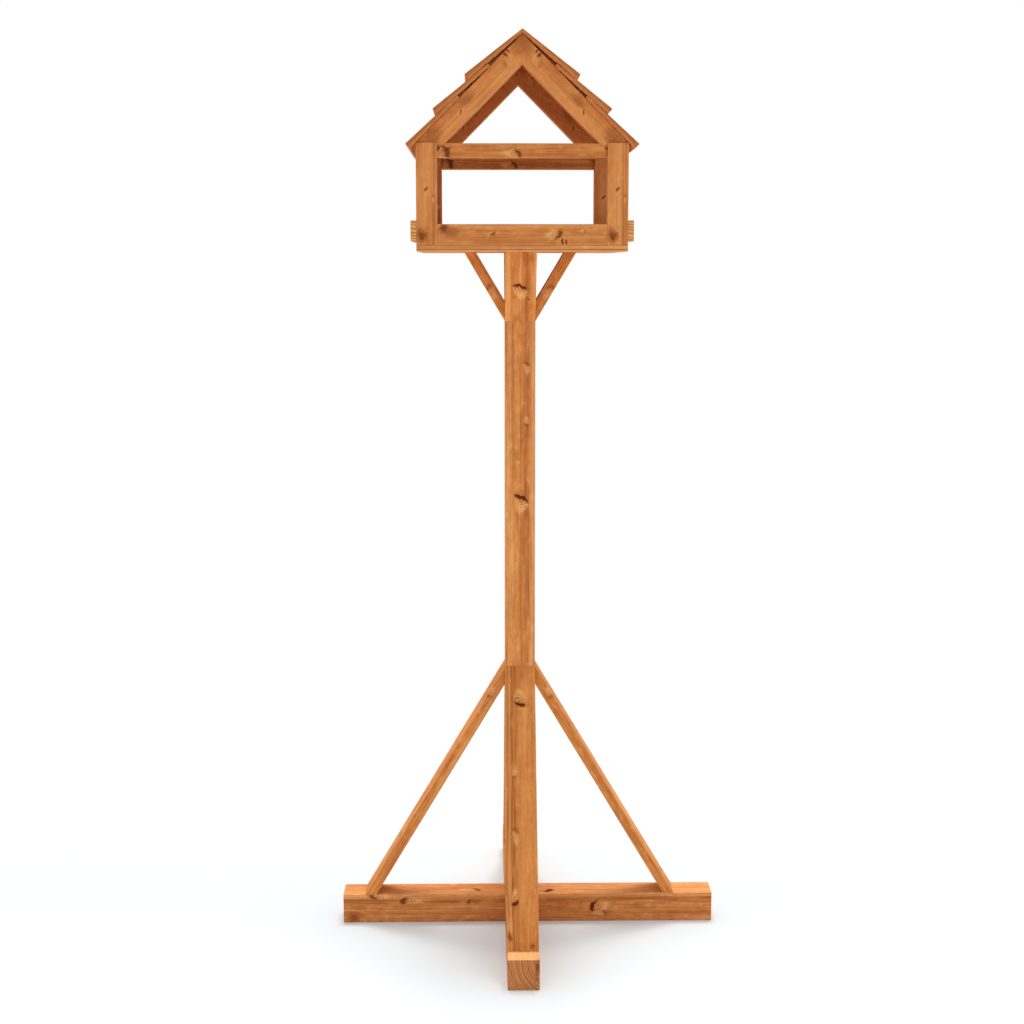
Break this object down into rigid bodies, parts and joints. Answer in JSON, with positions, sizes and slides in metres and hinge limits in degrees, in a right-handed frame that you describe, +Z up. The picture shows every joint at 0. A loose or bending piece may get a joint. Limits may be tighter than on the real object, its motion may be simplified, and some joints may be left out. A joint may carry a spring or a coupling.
{
  "type": "bird table",
  "caption": "Roofed feeding tray on a tall square post, with a crossed-beam foot, slanted braces above and below, a railed tray and a lapped board roof.",
  "frame": {"origin": "on the ground, at the axis of the post, on the underside of the crossed foot", "axes": "+Z up along the post, +X to the right, -Y towards the front"},
  "size_m": [0.57, 0.57, 1.3245],
  "materials": {
    "post_timber": "stained softwood, satin",
    "brace_timber": "stained softwood, satin",
    "tray_timber": "stained softwood, satin",
    "roof_timber": "stained softwood, satin"
  },
  "bodies": {
    "root": {"foot_beam_across": "post_timber", "foot_beam_front_to_back": "post_timber", "post": "post_timber", "lower_brace_right": "brace_timber", "lower_brace_rear": "brace_timber", "lower_brace_left": "brace_timber", "lower_brace_front": "brace_timber", "upper_brace_right": "brace_timber", "upper_brace_rear": "brace_timber", "upper_brace_left": "brace_timber", "upper_brace_front": "brace_timber", "tray_floor": "tray_timber", "tray_rail_front": "tray_timber", "tray_rail_rear": "tray_timber", "tray_rail_left": "tray_timber", "tray_rail_right": "tray_timber", "corner_post_front_left": "tray_timber", "corner_post_front_right": "tray_timber", "corner_post_rear_left": "tray_timber", "corner_post_rear_right": "tray_timber", "tie_beam_front": "tray_timber", "tie_beam_rear": "tray_timber", "rafter_front_left": "tray_timber", "rafter_front_right": "tray_timber", "rafter_rear_left": "tray_timber", "rafter_rear_right": "tray_timber", "roof_board_left_ridge": "roof_timber", "roof_board_left_middle": "roof_timber", "roof_board_left_eave": "roof_timber", "roof_board_right_ridge": "roof_timber", "roof_board_right_middle": "roof_timber", "roof_board_right_eave": "roof_timber"}
  },
  "joints": []
}
